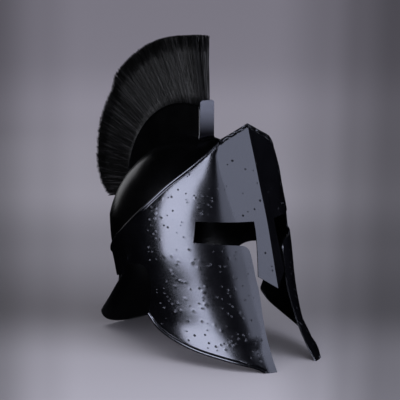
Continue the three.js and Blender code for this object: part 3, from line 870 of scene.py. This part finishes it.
def steelMaterial(name, wear, look):
    material, nodes, links, shader = newMaterial(name)
    shader.inputs["Metallic"].default_value = look["metallic"]
    shader.inputs["IOR"].default_value = look["ior"]
    shader.inputs["Specular Tint"].default_value = (*look["sheen"], 1)
    use = nodes.new("ShaderNodeGroup")
    use.node_tree = wear
    colour = nodes.new("ShaderNodeMix")
    colour.data_type = "RGBA"
    colour.inputs[6].default_value = (*look["dark"], 1)
    colour.inputs[7].default_value = (*look["light"], 1)
    if "footShade" in look:
        # painted shade: darker towards its foot, where the plate meets the bowl
        place, apart = nodes.new("ShaderNodeTexCoord"), nodes.new("ShaderNodeSeparateXYZ")
        footShade = nodes.new("ShaderNodeMapRange")
        footShade.inputs["From Min"].default_value, footShade.inputs["From Max"].default_value = look["footShade"]
        links.new(place.outputs["Object"], apart.inputs[0])
        links.new(apart.outputs["Z"], footShade.inputs["Value"])
        links.new(footShade.outputs["Result"], colour.inputs["Factor"])
    else:
        links.new(use.outputs["Smear"], colour.inputs["Factor"])
    links.new(colour.outputs[2], shader.inputs["Base Color"])
    rough = nodes.new("ShaderNodeMapRange")
    rough.inputs["From Min"].default_value = 0.3
    rough.inputs["From Max"].default_value = 0.7
    rough.inputs["To Min"].default_value = look["roughness"][0]
    rough.inputs["To Max"].default_value = look["roughness"][1]
    links.new(use.outputs["Smear"], rough.inputs["Value"])
    links.new(rough.outputs["Result"], shader.inputs["Roughness"])
    fine = addNode(nodes, "ShaderNodeBump", Strength=look["grain"], Distance=0.0002)
    soft = addNode(nodes, "ShaderNodeBump", Strength=look["ripple"], Distance=0.001)
    links.new(use.outputs["Specks"], fine.inputs["Height"])
    links.new(use.outputs["Ripple"], soft.inputs["Height"])
    links.new(soft.outputs["Normal"], fine.inputs["Normal"])
    links.new(fine.outputs["Normal"], shader.inputs["Normal"])
    return material


def hairMaterial():
    material, nodes, links, shader = newMaterial("blackHair")
    tone = nodes.new("ShaderNodeAttribute")
    tone.attribute_name = "tone"
    ramp = nodes.new("ShaderNodeValToRGB")
    ramp.color_ramp.elements[0].color = (0.002, 0.002, 0.0025, 1)
    ramp.color_ramp.elements[0].position = 0.68
    ramp.color_ramp.elements[1].color = (0.085, 0.085, 0.09, 1)
    links.new(tone.outputs["Fac"], ramp.inputs["Fac"])
    links.new(ramp.outputs["Color"], shader.inputs["Base Color"])
    shader.inputs["Roughness"].default_value = 0.42
    shader.inputs["Specular IOR Level"].default_value = 0.2
    return material


def coreMaterial():
    material, nodes, links, shader = newMaterial("hairShade")
    streak = addNode(nodes, "ShaderNodeTexNoise", Scale=700.0, Detail=2.0)
    place = nodes.new("ShaderNodeTexCoord")
    links.new(place.outputs["Object"], streak.inputs["Vector"])
    ramp = nodes.new("ShaderNodeValToRGB")
    ramp.color_ramp.elements[0].color = (0.002, 0.002, 0.002, 1)
    ramp.color_ramp.elements[1].color = (0.005, 0.005, 0.0055, 1)
    links.new(streak.outputs["Fac"], ramp.inputs["Fac"])
    links.new(ramp.outputs["Color"], shader.inputs["Base Color"])
    shader.inputs["Roughness"].default_value = 0.9
    shader.inputs["Specular IOR Level"].default_value = 0.05
    return material


# Making
wear = makeWearGroup()
plateSteel = steelMaterial("gunmetalPlate", wear, {
    "dark": (0.0012, 0.0012, 0.0018), "light": (0.0032, 0.0032, 0.0046),
    "metallic": 0.0, "roughness": (0.18, 0.25),
    "ior": 1.6, "sheen": (0.80, 0.83, 1.0), "grain": 0.10, "ripple": 0.05})
bowlSteel = steelMaterial("blackBowl", wear, {
    "dark": (0.0006, 0.0006, 0.0008), "light": (0.0014, 0.0014, 0.0018),
    "metallic": 0.0, "roughness": (0.20, 0.27),
    "ior": 1.45, "sheen": (0.9, 0.92, 1.0), "grain": 0.04, "ripple": 0.03})
guardSteel = steelMaterial("satinGuard", wear, {
    "dark": (0.002, 0.002, 0.0025), "light": (0.006, 0.006, 0.007),
    "metallic": 0.0, "roughness": (0.33, 0.45),
    "ior": 1.5, "sheen": (0.9, 0.92, 1.0), "grain": 0.08, "ripple": 0.05})
# the crest plate's colour carries painted shade, darker towards its foot
crestSteel = steelMaterial("greyCrestPlate", wear, {
    "dark": (0.008, 0.008, 0.011), "light": (0.15, 0.157, 0.20),
    "metallic": 1.0, "roughness": (0.3, 0.45), "footShade": (0.245, 0.272),
    "ior": 1.5, "sheen": (1, 1, 1), "grain": 0.15, "ripple": 0.05})
makeFacePlate(plateSteel)
makeSkull(bowlSteel)
makeNeckGuard(guardSteel)
makeCrestHolder(bowlSteel)
makeCrestFrontPlate(crestSteel)
makePlumeCore(coreMaterial())
makeHair(hairMaterial())

# Floor, light and camera
studio = {
    "floorHalf": 40.0, "below": 0.0001, "tint": (1, 0.975, 1.07),
    "facing": (0.6665, 0.7455, 0), "beside": (0.7455, -0.6665, 0),
    # painted light and shade on the pale floor: how pale it is painted by how far back it is, with a
    # painted shaded band just behind the helmet, and the painted light's falloff to either side
    "back": [(-0.3, 0.6), (-0.12, 0.56), (0.13, 0.28), (0.5, 0.37), (1.05, 0.55), (2.9, 0.78),
             (5, 0.72)],
    "aside": [(-0.16, 0.5), (-0.12, 0.85), (-0.09, 1.0), (0.055, 1.0), (0.1, 0.75), (0.123, 0.55),
              (0.15, 0.4)],
    "standOff": 1.5,
    "world": (0.32, 0.31, 0.345),
}
cameraSet = {
    "lens": 117, "sensor": 36, "shiftUp": -0.052, "middle": (0, -0.011, 0.19),
    "azimuth": -41.8, "distance": 1.5, "height": 0.4269,
}


def makeFloor():
    bm = bmesh.new()
    bmesh.ops.create_grid(bm, x_segments=1, y_segments=1, size=studio["floorHalf"])
    bmesh.ops.translate(bm, verts=bm.verts, vec=(0, 0, cadBounds[0].z - studio["below"]))
    mesh = bpy.data.meshes.new("floor")
    bm.to_mesh(mesh)
    bm.free()
    floor = bpy.data.objects.new("floor", mesh)
    bpy.context.scene.collection.objects.link(floor)
    material, nodes, links, shader = newMaterial("paleFloorWithPaintedLight")
    place = nodes.new("ShaderNodeTexCoord")

    def along(direction):
        dot = nodes.new("ShaderNodeVectorMath")
        dot.operation = "DOT_PRODUCT"
        dot.inputs[1].default_value = direction
        links.new(place.outputs["Object"], dot.inputs[0])
        return dot.outputs["Value"]

    def shades(value, table, tint):
        first, last = table[0][0], table[-1][0]
        reach, ramp = nodes.new("ShaderNodeMapRange"), nodes.new("ShaderNodeValToRGB")
        reach.inputs["From Min"].default_value = first
        reach.inputs["From Max"].default_value = last
        links.new(value, reach.inputs["Value"])
        links.new(reach.outputs["Result"], ramp.inputs["Fac"])
        ramp.color_ramp.interpolation = "EASE"
        stops = ramp.color_ramp.elements
        while len(stops) < len(table):
            stops.new(0.5)
        for stop, (at, pale) in zip(stops, table):
            stop.position = (at - first) / (last - first)
            stop.color = (*(pale * c for c in tint), 1)
        return ramp.outputs["Color"]

    def combine(operation, a, b):
        sums = nodes.new("ShaderNodeMath")
        sums.operation = operation
        for socket, value in zip(sums.inputs, (a, b)):
            if isinstance(value, float):
                socket.default_value = value
            else:
                links.new(value, socket)
        return sums.outputs[0]

    # painted light and shade: the floor's colour is the back table times the aside table, a painted
    # pool of light with a darker band behind the helmet and darker sides
    back = along(studio["facing"])
    depth = combine("ADD", combine("MAXIMUM", back, studio["back"][0][0]), studio["standOff"])
    aside = combine("DIVIDE", along(studio["beside"]), depth)
    mix = nodes.new("ShaderNodeMix")
    mix.data_type, mix.blend_type = "RGBA", "MULTIPLY"
    mix.inputs["Factor"].default_value = 1
    links.new(shades(back, studio["back"], studio["tint"]), mix.inputs[6])
    links.new(shades(aside, studio["aside"], (1, 1, 1)), mix.inputs[7])
    links.new(mix.outputs[2], shader.inputs["Base Color"])
    shader.inputs["Roughness"].default_value = 0.6
    shader.inputs["Specular IOR Level"].default_value = 0.2
    mesh.materials.append(material)
    floor.visible_glossy = False  # the paint mirrors the softboxes alone


def aimAt(obj, target):
    obj.rotation_euler = (Vector(target) - obj.location).to_track_quat("-Z", "Y").to_euler()


def softbox(name, azimuth, height, distance, width, tall, power, colour=(1, 1, 1)):
    # a rectangular light; azimuth 0 is in front of the face and 90 on the wearer's left
    data = bpy.data.lights.new(name, "AREA")
    data.shape = "RECTANGLE"
    data.size, data.size_y = width, tall
    data.energy = power
    data.color = colour
    light = bpy.data.objects.new(name, data)
    bpy.context.scene.collection.objects.link(light)
    a = math.radians(azimuth)
    light.location = (distance * math.sin(a), -distance * math.cos(a), height)
    aimAt(light, (0, -0.02, 0.17))
    return light


def makeCamera():
    data = bpy.data.cameras.new("camera")
    s = cameraSet
    data.lens = s["lens"]
    data.sensor_width = s["sensor"]
    data.shift_y = s["shiftUp"]
    camera = bpy.data.objects.new("camera", data)
    bpy.context.scene.collection.objects.link(camera)
    middle = Vector(s["middle"])
    a, away = math.radians(s["azimuth"]), s["distance"]
    offset = Vector((away * math.sin(a), -away * math.cos(a), s["height"] - s["middle"][2]))
    camera.location = middle + offset
    aimAt(camera, middle)
    bpy.context.scene.camera = camera


makeFloor()
softbox("frontSoftbox", 14, 0.85, 1.7, 1.15, 1.5, 15.5, (0.86, 0.89, 1.0))
softbox("cheekSoftbox", -17, 0.65, 1.75, 0.88, 1.2, 7.0, (0.86, 0.89, 1.0))
softbox("sideSoftbox", -86, 0.42, 1.6, 1.0, 1.3, 45, (0.9, 0.92, 1.0)).visible_diffuse = False
softbox("rightSoftbox", 42, 0.25, 1.8, 0.5, 0.7, 2.2, (0.9, 0.92, 1.0))
softbox("backSoftbox", 172, 0.5, 1.9, 0.7, 0.7, 1.1, (0.95, 0.96, 1.0))
softbox("floorSoftbox", -150, 2.4, 0.6, 1.6, 1.6, 14).visible_glossy = False
world = bpy.data.worlds.new("studio")
bpy.context.scene.world = world
world.use_nodes = True
world.node_tree.nodes["Background"].inputs["Color"].default_value = (*studio["world"], 1)
world.node_tree.nodes["Background"].inputs["Strength"].default_value = 1
world.cycles_visibility.glossy = False
bpy.context.scene.view_settings.view_transform = "Standard"
makeCamera()
